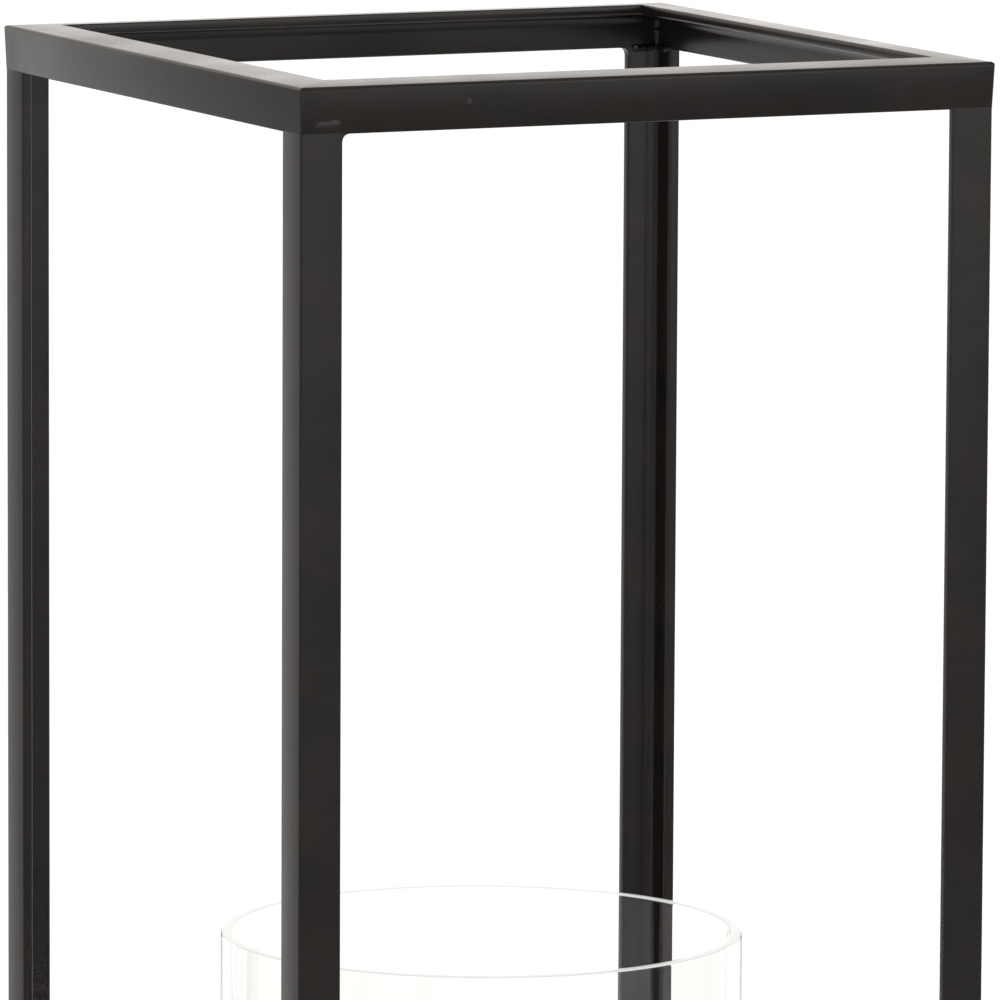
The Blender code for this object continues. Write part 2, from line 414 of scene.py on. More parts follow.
# %% Finish helper
def finish_piece(name, shape, material, body, node=None, smooth=35):
    """Turns a bmesh into a finished piece. Edges sharper than smooth, in degrees, stay sharp."""
    mesh = bpy.data.meshes.new(name)
    shape.to_mesh(mesh)
    shape.free()
    mesh.shade_smooth()
    mesh.set_sharp_from_angle(angle=math.radians(smooth))
    mesh.materials.append(material)
    piece = bpy.data.objects.new(name, mesh)
    bpy.context.scene.collection.objects.link(piece)
    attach(piece, body)
    if node:
        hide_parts(node)


def round_edges(shape, edges, radius, segments):
    bmesh.ops.bevel(
        shape,
        geom=edges,
        offset=radius,
        offset_type="OFFSET",
        affect="EDGES",
        segments=segments,
        profile=0.5,
        material=-1,
    )


# %% [markdown]
# ## Angle iron
# Hot-rolled angle is an L with a rounded outside corner, a fillet in the root and soft toes.
# The outline could be drawn point by point, but six vertices, one extrusion and a bevel for
# each kind of edge give the same bar, and each radius stays a number that can be changed.

# %% Angle bar
CORNER_RADIUS = 0.0008  # a post's outside corner
RING_RADIUS = 0.0013  # the same corner along the rings, worn rounder by the grinder
ROOT_RADIUS = 0.0030
TOE_RADIUS = 0.0009
RIM_RADIUS = 0.0004  # the outer edge of each toe, softened only by the paint
ROOT_STEPS = 8  # faces across a rounded root, and across each of the other edges below
RING_STEPS = 7
CORNER_STEPS = 5
TOE_STEPS = 5
RIM_STEPS = 3
SAME_PLACE = 0.00001  # m, less than any detail of the bar


def edges_between(shape, test):
    """Edges whose two ends both pass the test."""
    return [edge for edge in shape.edges if all(test(vert.co) for vert in edge.verts)]


def near(value, other):
    return abs(value - other) < SAME_PLACE


def angle_iron(flange, length):
    """A bar along X: its outside corner on y = z = 0, its flanges along +Y and -Z."""
    bar = bmesh.new()
    outline = [(0, 0), (flange, 0), (flange, iron), (iron, iron), (iron, flange), (0, flange)]
    section = [bar.verts.new((-length / 2, across, -down)) for across, down in outline]
    face = bar.faces.new(section)
    grown = bmesh.ops.extrude_face_region(bar, geom=[face], use_keep_orig=True)
    far_end = [part for part in grown["geom"] if isinstance(part, bmesh.types.BMVert)]
    bmesh.ops.translate(bar, verts=far_end, vec=(length, 0, 0))
    bmesh.ops.recalc_face_normals(bar, faces=bar.faces)
    return bar


def soften_long_edges(bar, flange):
    """The root fillet, the soft inner edge of each toe, and the painted outer edges."""
    def long_edges(across, down):
        def on_line(place):
            return near(place.y, across) and near(place.z, -down)
        return edges_between(bar, on_line)

    round_edges(bar, long_edges(iron, iron), ROOT_RADIUS, ROOT_STEPS)
    round_edges(bar, long_edges(flange, iron) + long_edges(iron, flange), TOE_RADIUS, TOE_STEPS)
    round_edges(bar, long_edges(flange, 0) + long_edges(0, flange), RIM_RADIUS, RIM_STEPS)


# %% [markdown]
# ## The rings
# Four bars meet at 45 degrees and are ground flush. Each bar is cut on the mitre planes, so
# that its rounded edges run into those of its neighbours. Two shallow cuts then take the
# sharpness off the ring's corner, as a grinder does.
# Rolled angle is never quite square: here the top ring's flat flanges rise a little towards
# the inside, and its walls lean outwards going up. A taper of the finished bar gives the lean
# and keeps the mitres closed.

# %% Mitred rails
GROUND_RADIUS = 0.0007  # at the ring's ground corners
GROUND_TURNS = (22.5, 45)  # the directions of the two shallow cuts, in degrees
FLANGE_RISE = 0.060  # how far the top flange rises for each metre inwards
LEAN = 0.040  # how far the wall leans out for each metre up
LEAN_PIVOT = -rail_flange  # the height on the wall that keeps its place


def cut_bar(bar, place, outward):
    """Removes what lies beyond a plane and closes the cut."""
    everything = bar.verts[:] + bar.edges[:] + bar.faces[:]
    cut = bmesh.ops.bisect_plane(
        bar, geom=everything, plane_co=place, plane_no=outward, clear_outer=True
    )
    rim = [part for part in cut["geom_cut"] if isinstance(part, bmesh.types.BMEdge)]
    bmesh.ops.edgenet_fill(bar, edges=rim)


def mitred_rail(rise, lean):
    """The front rail of a ring, with its top face at z = 0 and its flange lifted inwards."""
    bar = angle_iron(rail_flange, side)
    outer = edges_between(bar, lambda place: near(place.y, 0) and near(place.z, 0))
    round_edges(bar, outer, RING_RADIUS, RING_STEPS)
    soften_long_edges(bar, rail_flange)
    for vert in bar.verts:
        in_flange = min(1, max(0, 1 - (-vert.co.z - iron) / ROOT_RADIUS))
        vert.co.z += rise * in_flange * max(0, vert.co.y - RING_RADIUS)
    bmesh.ops.translate(bar, verts=bar.verts, vec=(0, -half_side, 0))
    for sign in (-1, 1):
        cut_bar(bar, (sign * half_side, -half_side, 0), (sign, 1, 0))
        centre = Vector((sign * (half_side - GROUND_RADIUS), GROUND_RADIUS - half_side, 0))
        for degrees in GROUND_TURNS:
            slope = math.radians(degrees)
            outward = Vector((sign * math.sin(slope), -math.cos(slope), 0))
            cut_bar(bar, centre + GROUND_RADIUS * outward, outward)
    for vert in bar.verts:
        share = 1 + lean * (vert.co.z - LEAN_PIVOT) / half_side
        vert.co.x *= share
        vert.co.y *= share
    return bar


for turn, name in enumerate(SIDES):
    heading = quarter_turn(turn, 4)
    top_bar = mitred_rail(FLANGE_RISE, LEAN)
    raised = Matrix.Translation((0, 0, top_z)) @ heading
    bmesh.ops.transform(top_bar, matrix=raised, verts=top_bar.verts)
    finish_piece(f"top_rail_{name}_bar", top_bar, black_paint, "cage", f"top_rail_{name}")
    bottom_bar = mitred_rail(0, 0)
    # Half a turn about Y stands the same bar on its flat flange.
    turned = Matrix.Translation((0, 0, foot_z)) @ heading @ Matrix.Rotation(math.pi, 4, "Y")
    bmesh.ops.transform(bottom_bar, matrix=turned, verts=bottom_bar.verts)
    finish_piece(f"bottom_rail_{name}_bar", bottom_bar, black_paint, "cage", f"bottom_rail_{name}")

# %% [markdown]
# ## The posts
# A post is the same angle stood upright, corner outwards, and butted between the rings. One
# post is made at the front left, and a quarter turn for each takes it to its own corner.

# %% Posts
POST_REACH = 0.0005  # each end is welded over the ring's soft edge, so no groove shows


def upright_post():
    """The front left post."""
    length = top_z - foot_z - 2 * (rail_flange - POST_REACH)
    bar = angle_iron(post_flange, length)
    outer = edges_between(bar, lambda place: near(place.y, 0) and near(place.z, 0))
    round_edges(bar, outer, CORNER_RADIUS, CORNER_STEPS)
    soften_long_edges(bar, post_flange)
    # The bar's X turns up to Z, its Y stays, and its -Z turns to X.
    stand = Matrix(((0, 0, -1, 0), (0, 1, 0, 0), (1, 0, 0, 0), (0, 0, 0, 1)))
    centre = (-half_side, -half_side, (top_z + foot_z) / 2)
    bmesh.ops.transform(bar, matrix=Matrix.Translation(centre) @ stand, verts=bar.verts)
    return bar


for turn, name in enumerate(CORNERS):
    post = upright_post()
    bmesh.ops.rotate(post, cent=(0, 0, 0), matrix=quarter_turn(turn, 3), verts=post.verts)
    finish_piece(f"post_{name}_bar", post, black_paint, "cage", f"post_{name}")

# %% [markdown]
# ## Turned shapes
# Glass, dish, spike, candle and hoop are all round. Each could be a stack of cylinders, but one
# chain of points spun round the axis gives walls, rims and bends in a single closed skin.

# %% Turned shapes
MERGE_DISTANCE = 0.000001  # m, closes the seam and the poles


def turned_shape(outline, centre, segments):
    """A chain of (radius, height) points spun round a vertical axis through centre."""
    shape = bmesh.new()
    verts = [shape.verts.new((radius, 0, height)) for radius, height in outline]
    edges = [shape.edges.new(pair) for pair in zip(verts, verts[1:])]
    if min(outline[0][0], outline[-1][0]) > 0:
        edges.append(shape.edges.new((verts[-1], verts[0])))
    bmesh.ops.spin(
        shape,
        geom=verts + edges,
        cent=(0, 0, 0),
        axis=(0, 0, 1),
        angle=2 * math.pi,
        steps=segments,
        use_merge=True,
    )
    bmesh.ops.remove_doubles(shape, verts=shape.verts, dist=MERGE_DISTANCE)
    bmesh.ops.recalc_face_normals(shape, faces=shape.faces)
    bmesh.ops.translate(shape, verts=shape.verts, vec=centre)
    return shape


def arc(centre, radius, start, end, steps):
    """Points on a circle, from one angle to another in degrees."""
    points = []
    for step in range(steps + 1):
        angle = math.radians(start + (end - start) * step / steps)
        across = centre[0] + radius * math.cos(angle)
        up = centre[1] + radius * math.sin(angle)
        points.append((across, up))
    return points


def rounded_section(inner, outer, low, high, radius, steps=3):
    """A closed chain round an oblong with rounded corners, from its lower inner corner."""
    corners = (
        (inner + radius, low + radius, 180),
        (outer - radius, low + radius, 270),
        (outer - radius, high - radius, 0),
        (inner + radius, high - radius, 90),
    )
    chain = []
    for x, z, start in corners:
        chain += arc((x, z), radius, start, start + 90, steps)
    return chain


# %% [markdown]
# ## Clear glass
# A thin wall bends the view only a little, so its shader bends light by almost nothing and a
# clear coat carries the reflections. Glass gathers light from the whole wall and shows it at
# the rim, so a mask on height and radius paints the rim with a pale grey glow, an emission.

# %% Glass finish
GLASS_IOR = 1.008
COAT_WEIGHT = 0.6
COAT_ROUGHNESS = 0.02
COAT_IOR = 1.5
# The rim's painted glow: an emission that stands in for the light the glass gathers. The rim's own colour
# is made nearly black, so only this painted glow shows there.
PAINTED_RIM_GLOW = 0.76
RIM_TINT = 0.003  # the rim lets almost nothing through, so its glow is all that shows
RIM_BAND = 0.0003  # how far the glow reaches down from the rim
RIM_WIDTH = 0.0034  # and how far in from the outer wall
CROWN_FADE = 1.4  # the glow ends this many bands below the rim
EDGE_FADE = 1.2  # and this many widths in
RIM_WARMTH = 0.98  # its blue, as a share of its red and green
glass_low, glass_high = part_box("glass_cylinder")
glass_radius, glass_height, glass_centre = round_sizes(glass_low, glass_high)


def rim_mask(tree, coordinates):
    """One on top of the glass's upper rim, and none elsewhere."""
    place = tree.nodes.new("ShaderNodeSeparateXYZ")
    tree.links.new(coordinates, place.inputs["Vector"])
    level = tree.nodes.new("ShaderNodeCombineXYZ")
    tree.links.new(place.outputs["X"], level.inputs["X"])
    tree.links.new(place.outputs["Y"], level.inputs["Y"])
    reach = tree.nodes.new("ShaderNodeVectorMath")
    reach.operation = "DISTANCE"
    tree.links.new(level.outputs["Vector"], reach.inputs[0])
    reach.inputs[1].default_value = (glass_centre.x, glass_centre.y, 0)
    crown_foot = glass_high.z - CROWN_FADE * RIM_BAND
    crown = add_ramp(tree, place.outputs["Z"], crown_foot, glass_high.z - RIM_BAND, 0, 1)
    edge_foot = glass_radius - EDGE_FADE * RIM_WIDTH
    edge = add_ramp(tree, reach.outputs["Value"], edge_foot, glass_radius - RIM_WIDTH, 0, 1)
    return add_math(tree, "MULTIPLY", crown, edge)


def make_glass():
    material, tree, shader, coordinates = new_material("clear_glass")
    shader.inputs["Transmission Weight"].default_value = 1.0
    shader.inputs["IOR"].default_value = GLASS_IOR
    shader.inputs["Coat Weight"].default_value = COAT_WEIGHT
    shader.inputs["Coat Roughness"].default_value = COAT_ROUGHNESS
    shader.inputs["Coat IOR"].default_value = COAT_IOR
    rim = rim_mask(tree, coordinates)
    handling = place_group(
        tree, drift_group, coordinates, Drift_Scale=14.0, Speck_Share=0.1, Low=0.965, High=0.995
    )
    tint = tree.nodes.new("ShaderNodeMix")
    tree.links.new(rim, tint.inputs[0])
    tree.links.new(handling, tint.inputs[2])
    tint.inputs[3].default_value = RIM_TINT
    tree.links.new(tint.outputs[0], shader.inputs["Base Color"])
    # Painted glow: emission on the rim, in place of the light that the wall gathers; no lamp is there.
    glow = mix_colours(tree, rim, (0, 0, 0), (PAINTED_RIM_GLOW, PAINTED_RIM_GLOW, RIM_WARMTH * PAINTED_RIM_GLOW))
    tree.links.new(glow, shader.inputs["Emission Color"])
    shader.inputs["Emission Strength"].default_value = 1.0
    haze = place_group(
        tree,
        drift_group,
        coordinates,
        Drift_Scale=18.0,
        Speck_Scale=500.0,
        Speck_Share=0.2,
        High=0.03,
    )
    tree.links.new(haze, shader.inputs["Roughness"])
    ripple = place_group(
        tree,
        grain_group,
        coordinates,
        Wave_Scale=14.0,
        Wave_Height=0.00008,
        Peel_Scale=90.0,
        Peel_Height=0.000002,
    )
    tree.links.new(ripple, shader.inputs["Normal"])
    return material


clear_glass = make_glass()
print("glass finish, rim glow", PAINTED_RIM_GLOW)

# %% [markdown]
# ## The glass sleeve
# The sleeve is a drawn tube, cut square with its edges softened in a flame. A tall thin
# oblong with rounded corners, spun round the axis, makes it with no seam.

# %% Glass sleeve
GLASS_WALL = 0.0040
GLASS_ARRIS = 0.0010  # the softened edges of each rim
ARRIS_STEPS = 5
GLASS_STEPS = 192
glass_outline = rounded_section(
    glass_radius - GLASS_WALL, glass_radius, 0, glass_height, GLASS_ARRIS, ARRIS_STEPS
)
glass = turned_shape(glass_outline, glass_centre, GLASS_STEPS)
finish_piece("glass_sleeve", glass, clear_glass, "glass", "glass_cylinder", smooth=60)
print(f"glass {2 * glass_radius:.4f} across, {glass_height:.4f} tall")

# %% [markdown]
# ## Welds
# Each post is butted to the rings and welded from outside, then ground nearly flush. The run
# inside the corner is left as it was laid: a ripple for each drop of metal.
# A bead could be a row of squashed balls. A rod swept along a line, with a radius that rises
# and falls, makes one closed skin instead.

# %% Swept rods
RIPPLE = 0.0011  # m from one drop of weld metal to the next
RIPPLE_SHARE = 0.06  # of the bead's radius
HAND_SHARE = 0.25
HAND_SCALE = 450
END_SHARE = 0.45


def swept_rod(shape, path, radii, sides=8):
    """Adds a closed rod: one ring of verts for each point, bridged to the next."""
    rings = []
    for index, (point, radius) in enumerate(zip(path, radii)):
        along = path[min(index + 1, len(path) - 1)] - path[max(index - 1, 0)]
        turn = along.to_track_quat("Z", "X").to_matrix().to_4x4()
        place = Matrix.Translation(point) @ turn
        made = bmesh.ops.create_circle(shape, cap_ends=False, segments=sides, radius=radius, matrix=place)
        rings.append(list({edge for vert in made["verts"] for edge in vert.link_edges}))
    for first, second in zip(rings, rings[1:]):
        bmesh.ops.bridge_loops(shape, edges=first + second)
    for ring in (rings[0], rings[-1]):
        bmesh.ops.edgeloop_fill(shape, edges=ring)


def straight(start, end, steps):
    """Evenly spaced points from one place to another."""
    return [Vector(start).lerp(Vector(end), step / steps) for step in range(steps + 1)]


def bead_radii(path, radius, ripple=RIPPLE):
    """A bead's radius: a ripple, an unsteady hand, and a taper at both ends."""
    length = (path[-1] - path[0]).length
    radii = []
    for point in path:
        run = (point - path[0]).length
        rings = RIPPLE_SHARE * math.sin(2 * math.pi * run / ripple) if ripple else 0
        wave = 1 + rings + HAND_SHARE * noise.noise(point * HAND_SCALE)
        end = min(run, length - run) / radius
        taper = END_SHARE + (1 - END_SHARE) * math.sqrt(min(1, end))
        radii.append(radius * wave * taper)
    return radii


# %% [markdown]
# ## The corner welds
# A corner has four kinds of weld: a bead across each inner face of the post's end, a fill in
# the corner of one window, a bead up the mitre, and on some a swelling that grinding has left.
# One corner is made at the front left, and quarter turns carry it round.

# %% Weld beads at the corners
INSIDE_BEAD = 0.0012
GROUND_BEAD = 0.0017
GROUND_DEPTH = 0.00026  # of the flattened bead, most of it below the surface
GROUND_SINK = 0.00014
CORNER_FILL = 0.0021  # radius of the weld in each window's corners
FILL_OVERLAP = 0.0004  # of the fill into both bars
FILL_INSET = 0.0002  # of the fill behind the faces of the iron
FILL_STEPS = 7
THROAT = 0.0026  # how far an inside bead lies from both walls of the root
BEAD_STEPS = 30
GROUND_STEPS = 26
GROUND_SIDES = 16
MITRE_BEAD = 1.35  # the mitre's bead, as a share of the inside bead
MITRE_RIPPLE = 0.0014
MITRE_SIDES = 10


def window_fill(shape, corner, across, down):
    """The concave weld between a rail's edge and a post's edge, as thick as the iron."""
    hollow = arc((CORNER_FILL, CORNER_FILL), CORNER_FILL, 180, 270, FILL_STEPS)
    outline = [(-FILL_OVERLAP, -FILL_OVERLAP), (CORNER_FILL, -FILL_OVERLAP), *reversed(hollow)]
    outline.append((-FILL_OVERLAP, CORNER_FILL))
    inset = Vector((0, FILL_INSET, 0))
    verts = [shape.verts.new(corner + across * x + down * y + inset) for x, y in outline]
    face = shape.faces.new(verts)
    grown = bmesh.ops.extrude_face_region(shape, geom=[face], use_keep_orig=True)
    back = [part for part in grown["geom"] if isinstance(part, bmesh.types.BMVert)]
    bmesh.ops.translate(shape, verts=back, vec=(0, iron - 2 * FILL_INSET, 0))


def ground_weld(shape, start, end, outward, radius=GROUND_BEAD):
    """A bead flattened to a faint swelling on an outer face."""
    path = straight(start, end, GROUND_STEPS)
    before = set(shape.verts)
    swept_rod(shape, path, bead_radii(path, radius, 0.0), GROUND_SIDES)
    for vert in set(shape.verts) - before:
        proud = (vert.co - path[0]).dot(outward)
        vert.co += outward * (proud * GROUND_DEPTH / radius - proud - GROUND_SINK)


def corner_welds(ring_z, up, fill_back, swelling):
    """The welds between the front left post and one ring; up is the way to the ring's face."""
    shape = bmesh.new()
    joint = ring_z - up * rail_flange
    near_edge = -half_side
    toe = near_edge + post_flange
    down = Vector((0, 0, -up))
    # The bead that closes the post's end, inside, stops one bead short of the mitre's.
    root = near_edge + THROAT + INSIDE_BEAD
    inner_start = (toe - 0.001, near_edge + iron, joint)
    inner = straight(inner_start, (root, near_edge + iron, joint), BEAD_STEPS)
    swept_rod(shape, inner, bead_radii(inner, INSIDE_BEAD))
    # The same on the left, by a mirror across the corner.
    swap = Matrix(((0, 1, 0, 0), (1, 0, 0, 0), (0, 0, 1, 0), (0, 0, 0, 1)))
    copied = bmesh.ops.duplicate(shape, geom=shape.verts[:] + shape.edges[:] + shape.faces[:])
    twins = [part for part in copied["geom"] if isinstance(part, bmesh.types.BMVert)]
    bmesh.ops.transform(shape, matrix=swap, verts=twins)
    before = set(shape.verts)
    window_fill(shape, Vector((toe, near_edge, joint)), Vector((1, 0, 0)), down)
    if fill_back:
        bmesh.ops.transform(shape, matrix=swap, verts=list(set(shape.verts) - before))
    # The faint swelling of the ground weld, on the front.
    start = (near_edge + 0.0042, near_edge - 0.0001, joint + up * 0.0024)
    end = (toe - 0.0006, near_edge - 0.0001, joint + up * 0.0030)
    if swelling:
        ground_weld(shape, start, end, Vector((0, -1, 0)))
    # The bead up the mitre.
    foot = (near_edge + THROAT, near_edge + THROAT, joint - up * 0.002)
    mitre = straight(foot, (foot[0], foot[1], ring_z - up * iron), BEAD_STEPS)
    mitre_radii = bead_radii(mitre, INSIDE_BEAD * MITRE_BEAD, MITRE_RIPPLE)
    swept_rod(shape, mitre, mitre_radii, MITRE_SIDES)
    bmesh.ops.recalc_face_normals(shape, faces=shape.faces)
    return shape


for turn, name in enumerate(CORNERS):
    for ring, ring_z, up in (("top", top_z, 1), ("bottom", foot_z, -1)):
        swelling = ring == "bottom" or name == "front_left"
        welds = corner_welds(ring_z, up, name == "back_left", swelling)
        bmesh.ops.rotate(welds, cent=(0, 0, 0), matrix=quarter_turn(turn, 3), verts=welds.verts)
        finish_piece(f"{ring}_welds_{name}", welds, weld_paint, "cage")

# %% [markdown]
# ## A run in the paint
# One drop of paint ran down the front rail and dried. It could be a mark in the material, but
# a highlight needs a real swelling, so the flattened bead of the welds serves again, smaller.

# %% Paint run
RUN_PLACE = 0.237  # along the front rail, as a share of its length
RUN_FOOT = 0.0060  # above the rail's lower edge
RUN_LENGTH = 0.0034
RUN_RADIUS = 0.0011
run_ends = []
for rise in (RUN_FOOT, RUN_FOOT + RUN_LENGTH):
    leaned = -half_side - LEAN * rise
    run_ends.append((side * RUN_PLACE - half_side, leaned, top_z - rail_flange + rise))
paint_run = bmesh.new()
ground_weld(paint_run, *run_ends, Vector((0, -1, 0)), RUN_RADIUS)
bmesh.ops.recalc_face_normals(paint_run, faces=paint_run.faces)
finish_piece("paint_run", paint_run, black_paint, "cage")
print("paint run at", [round(value, 4) for value in run_ends[0]])

# %% [markdown]
# ## The base plate
# A square of sheet steel lies on the bottom ring's flanges and carries the glass and candle.
# A cube scaled to the sheet, with its four upright edges bevelled first and its rims after,
# keeps every face. Short beads tack it to the ring.

# %% Base plate and its tacks
PLATE_CORNER = 0.0060
PLATE_STEPS = 10
PLATE_RIM = 0.0005
LEVEL = 0.0001  # m, an edge that rises less than this lies flat
TACK_LENGTH = 0.0110
TACK_BEAD = 0.0014
TACK_PLACES = (-0.06, 0.06)
TACK_STEPS = 26


def edge_rise(edge):
    return abs(edge.verts[0].co.z - edge.verts[1].co.z)


plate_size = plate_high - plate_low
plate_centre = (plate_low + plate_high) / 2
plate = bmesh.new()
plate_form = Matrix.Translation(plate_centre) @ Matrix.Diagonal((*plate_size, 1))
bmesh.ops.create_cube(plate, size=1, matrix=plate_form)
uprights = [edge for edge in plate.edges if edge_rise(edge) > LEVEL]
round_edges(plate, uprights, PLATE_CORNER, PLATE_STEPS)
rims = [edge for edge in plate.edges if edge_rise(edge) < LEVEL]
round_edges(plate, rims, PLATE_RIM, RIM_STEPS)
finish_piece("base_sheet", plate, black_paint, "cage", "base_plate")

tacks = bmesh.new()
for quarter in range(4):
    heading = quarter_turn(quarter, 3)
    for place in TACK_PLACES:
        start = Vector((place, plate_low.y, plate_high.z - 0.0002))
        end = Vector((place + TACK_LENGTH, plate_low.y, plate_high.z - 0.0002))
        path = straight(heading @ start, heading @ end, TACK_STEPS)
        swept_rod(tacks, path, bead_radii(path, TACK_BEAD))
bmesh.ops.recalc_face_normals(tacks, faces=tacks.faces)
finish_piece("base_tacks", tacks, weld_paint, "cage")
print("base sheet", [round(value, 4) for value in plate_size])

# %% [markdown]
# ## The ring that keeps the glass in place
# A strip of steel is rolled into a hoop, closed with one upright weld and tacked to the sheet.
# Its section is a small rounded oblong spun round, so both rims are soft to the glass.

# %% Seat ring
SEAT_WALL = 0.0016
SEAT_EDGE = 0.0005
SEAT_STEPS = 160
SEAT_BEAD = 0.0012
SEAM_BEAD = 0.0007
WELD_TURN = 0.3  # degrees between two points of a seat weld
seat_low, seat_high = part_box("glass_seat_ring")
seat_radius, seat_height, seat_centre = round_sizes(seat_low, seat_high)

seat_section = rounded_section(seat_radius - SEAT_WALL, seat_radius, 0, seat_height, SEAT_EDGE)
seat = turned_shape(seat_section, seat_centre, SEAT_STEPS)
finish_piece("seat_hoop", seat, black_paint, "cage", "glass_seat_ring")

seat_welds = bmesh.new()
for degrees in (45, 135, 225, 315):
    spots = []
    for step in range(-12, 13):
        angle = math.radians(degrees + step * WELD_TURN)
        away = Vector((math.cos(angle), math.sin(angle), 0))
        spots.append(seat_centre + away * (seat_radius + 0.0002))
    swept_rod(seat_welds, spots, bead_radii(spots, SEAT_BEAD))
seam = seat_centre + Vector((0, seat_radius - 0.0003, 0.001))
seam_path = straight(seam, seam + Vector((0, 0, seat_height - 0.002)), BEAD_STEPS)
swept_rod(seat_welds, seam_path, bead_radii(seam_path, SEAM_BEAD))
bmesh.ops.recalc_face_normals(seat_welds, faces=seat_welds.faces)
finish_piece("seat_welds", seat_welds, weld_paint, "cage")
print(f"seat hoop {2 * seat_radius:.4f} across, {seat_height:.4f} tall")

# %% [markdown]
# ## Felt pads
# Four felt discs keep the iron off the table. Felt is a dense mat of wool, so the disc bulges
# at its rim, and its finish is a fine fuzz rather than a sheen.

# %% Felt finish
FELT_DARK = (0.010, 0.010, 0.011)
FELT_PALE = (0.045, 0.043, 0.042)
FELT_SHEEN = 0.4
tone = {"Drift_Scale": 400.0, "Speck_Scale": 5000.0, "Speck_Share": 0.6}
gloss = {"Speck_Scale": 3000.0, "Speck_Share": 0.7, "Low": 0.85, "High": 1.0}
skin = {"Wave_Scale": 900.0, "Wave_Height": 0.0004, "Peel_Scale": 6000.0, "Peel_Height": 0.00010}
pad_felt, shader = make_finish("pad_felt", (FELT_DARK, FELT_PALE), tone, gloss, skin)
shader.inputs["Sheen Weight"].default_value = FELT_SHEEN
print("felt, sheen", FELT_SHEEN)

# %% Felt discs
PAD_STEPS = 40
BULGE_STEPS = 8
FUZZ_SCALE = 1500
FUZZ_DEPTH = 0.00012
for name in CORNERS:
    pad_low, pad_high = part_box(f"foot_pad_{name}")
    radius, thick, pad_centre = round_sizes(pad_low, pad_high)
    bulge = arc((radius - thick / 2, thick / 2), thick / 2, -90, 90, BULGE_STEPS)
    pad = turned_shape([(0, 0), *bulge, (0, thick)], pad_centre, PAD_STEPS)
    for vert in pad.verts:
        fuzz = noise.noise(vert.co * FUZZ_SCALE) * FUZZ_DEPTH
        outward = Vector((vert.co.x, vert.co.y, 0)) - Vector((pad_centre.x, pad_centre.y, 0))
        if outward.length > radius / 2:
            vert.co -= outward.normalized() * abs(fuzz)
    finish_piece(f"felt_disc_{name}", pad, pad_felt, "cage", f"foot_pad_{name}", smooth=50)
print("4 felt discs")

# %% [markdown]
# ## The candle dish
# A loose steel pan catches the wax. It is pressed from thin sheet: a flat floor, a raised bead
# just outside the candle, a sloped wall and a rolled lip. One chain of points, out along the
# underside and back along the top, is spun round the axis.

# %% Candle dish
SHEET = 0.0012
LIP = 0.0009  # radius of the rolled lip
DISH_FLAT = 0.02  # radius of the flat middle
BEND_PLACE = (0.0460, 0.0020)  # centre of the bend from floor to wall
BEND_RADIUS = 0.0020
BEND_STEPS = 6
BEAD_PLACE = 0.0425
BEAD_SPACING = 0.0006
BEAD_RISE = 0.0007
LIP_STEPS = 12
DISH_STEPS = 128
dish_low, dish_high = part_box("candle_dish")
dish_radius, dish_height, dish_centre = round_sizes(dish_low, dish_high)

bead_under = []
for place in range(-3, 4):
    rise = 0.5 * BEAD_RISE * (1 + math.cos(math.pi * place / 3))
    bead_under.append((BEAD_PLACE + place * BEAD_SPACING, rise))
bead_over = [(x, z + SHEET) for x, z in reversed(bead_under)]
outer_bend = arc(BEND_PLACE, BEND_RADIUS, 270, 325, BEND_STEPS)
lip = arc((dish_radius - LIP, dish_height - LIP), LIP, -40, 200, LIP_STEPS)
inner_bend = arc(BEND_PLACE, BEND_RADIUS - SHEET, 325, 270, BEND_STEPS)
underside = [(0, 0), (DISH_FLAT, 0), *bead_under, *outer_bend]
topside = [*inner_bend, *bead_over, (DISH_FLAT, SHEET), (0, SHEET)]
dish = turned_shape([*underside, *lip, *topside], dish_centre, DISH_STEPS)
finish_piece("pressed_dish", dish, black_paint, "candle_tray", "candle_dish", smooth=40)
print(f"dish {2 * dish_radius:.4f} across, {dish_height:.4f} tall")

# %% [markdown]
# ## The candle spike
# A short pricket stands in the middle of the dish and goes up into the candle. It is turned
# from rod: a small foot, a straight shank, a shoulder and a long taper to a blunted tip.

# %% Candle spike
SPIKE_TIP = 0.0003
SPIKE_SHOULDER = 0.0070
SPIKE_STEPS = 32
spike_low, spike_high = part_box("candle_spike")
spike_radius, spike_height, spike_centre = round_sizes(spike_low, spike_high)
spike_outline = [
    (0, 0),
    (spike_radius + 0.0005, 0),
    (spike_radius + 0.0002, 0.0003),
    (spike_radius, 0.0009),
    (spike_radius, SPIKE_SHOULDER - 0.0006),
    (spike_radius - 0.0001, SPIKE_SHOULDER),
    *arc((0, spike_height - SPIKE_TIP), SPIKE_TIP, 12, 90, 4)[:-1],
    (0, spike_height),
]
spike = turned_shape(spike_outline, spike_centre, SPIKE_STEPS)
finish_piece("turned_spike", spike, black_paint, "candle_tray", "candle_spike", smooth=50)
print(f"spike {2 * spike_radius:.4f} across, {spike_height:.4f} tall")

# %% [markdown]
# ## Wax
# Light goes a few millimetres into wax before it comes back out, redder than it went in. The
# finish scatters under its skin, and drifts between two creams where the pour cooled unevenly.

